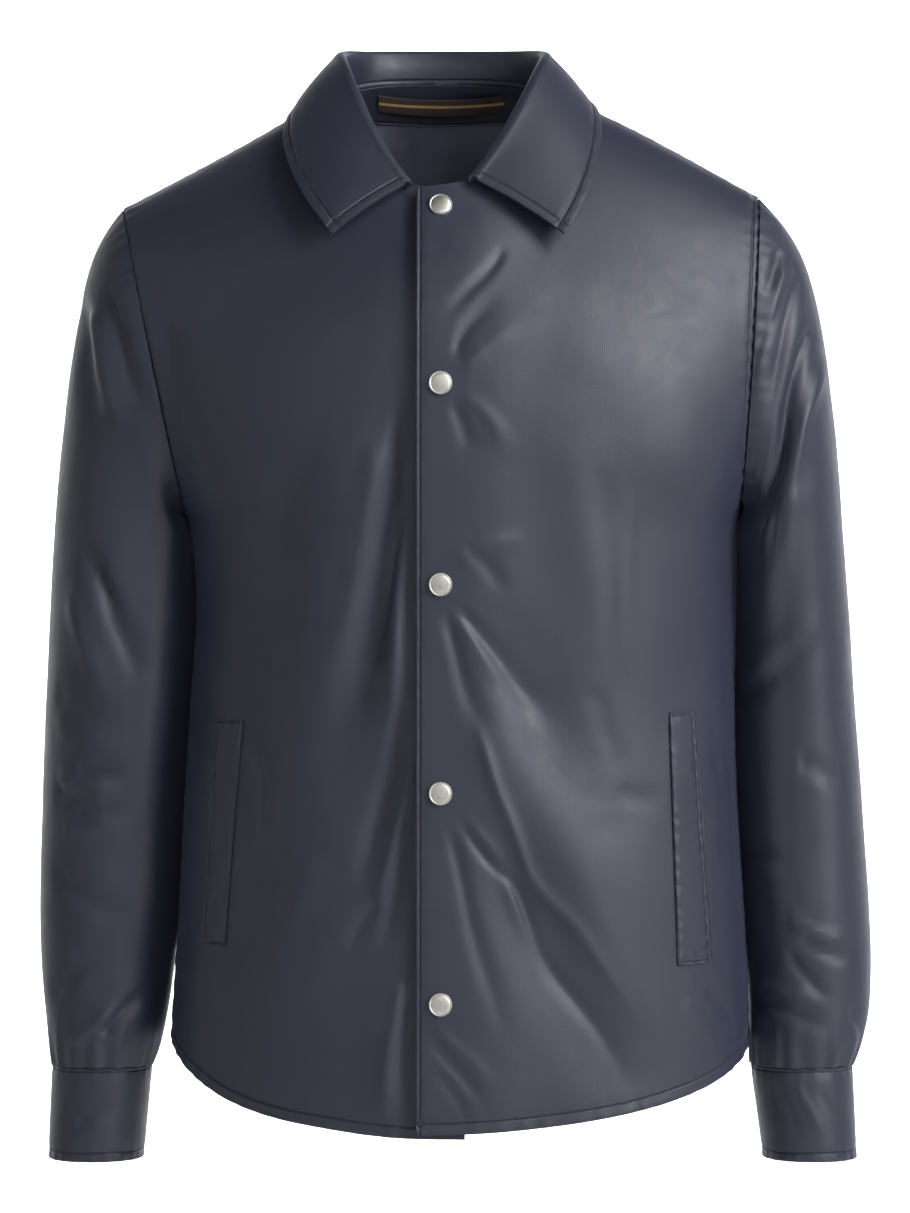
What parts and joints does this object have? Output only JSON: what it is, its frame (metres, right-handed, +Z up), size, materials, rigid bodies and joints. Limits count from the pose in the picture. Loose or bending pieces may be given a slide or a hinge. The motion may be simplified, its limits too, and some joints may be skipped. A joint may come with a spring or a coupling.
{
  "type": "button-front jacket",
  "caption": "Light padded jacket with a turned-down collar, snap front, slanted welt pockets, long sleeves with cuffs and a curved hem, in its worn form.",
  "frame": {"origin": "middle of the wearer's neck, level with the points where the shoulder seams meet the collar", "axes": "+Z up along the wearer's spine, -Y out of the jacket's front, +X to the wearer's left"},
  "size_m": [0.5702, 0.2525, 0.7596],
  "materials": {
    "nylon": "satin woven nylon, lightly padded",
    "facing": "plain nylon",
    "tape": "woven tape with a pale stripe",
    "snap_metal": "brushed"
  },
  "bodies": {
    "root": {"front_left": "nylon", "front_right": "nylon", "back": "nylon", "sleeve_left": "nylon", "sleeve_right": "nylon", "cuff_left": "nylon", "cuff_right": "nylon", "collar": "nylon", "pocket_welt_left": "nylon", "pocket_welt_right": "nylon", "back_neck_facing": "facing", "hanger_tape": "tape", "snap_cap_1": "snap_metal", "snap_cap_2": "snap_metal", "snap_cap_3": "snap_metal", "snap_cap_4": "snap_metal", "snap_cap_5": "snap_metal", "snap_stud_1": "snap_metal", "snap_stud_2": "snap_metal", "snap_stud_3": "snap_metal", "snap_stud_4": "snap_metal", "snap_stud_5": "snap_metal", "snap_post_1": "snap_metal", "snap_post_2": "snap_metal", "snap_post_3": "snap_metal", "snap_post_4": "snap_metal", "snap_post_5": "snap_metal"}
  },
  "joints": []
}
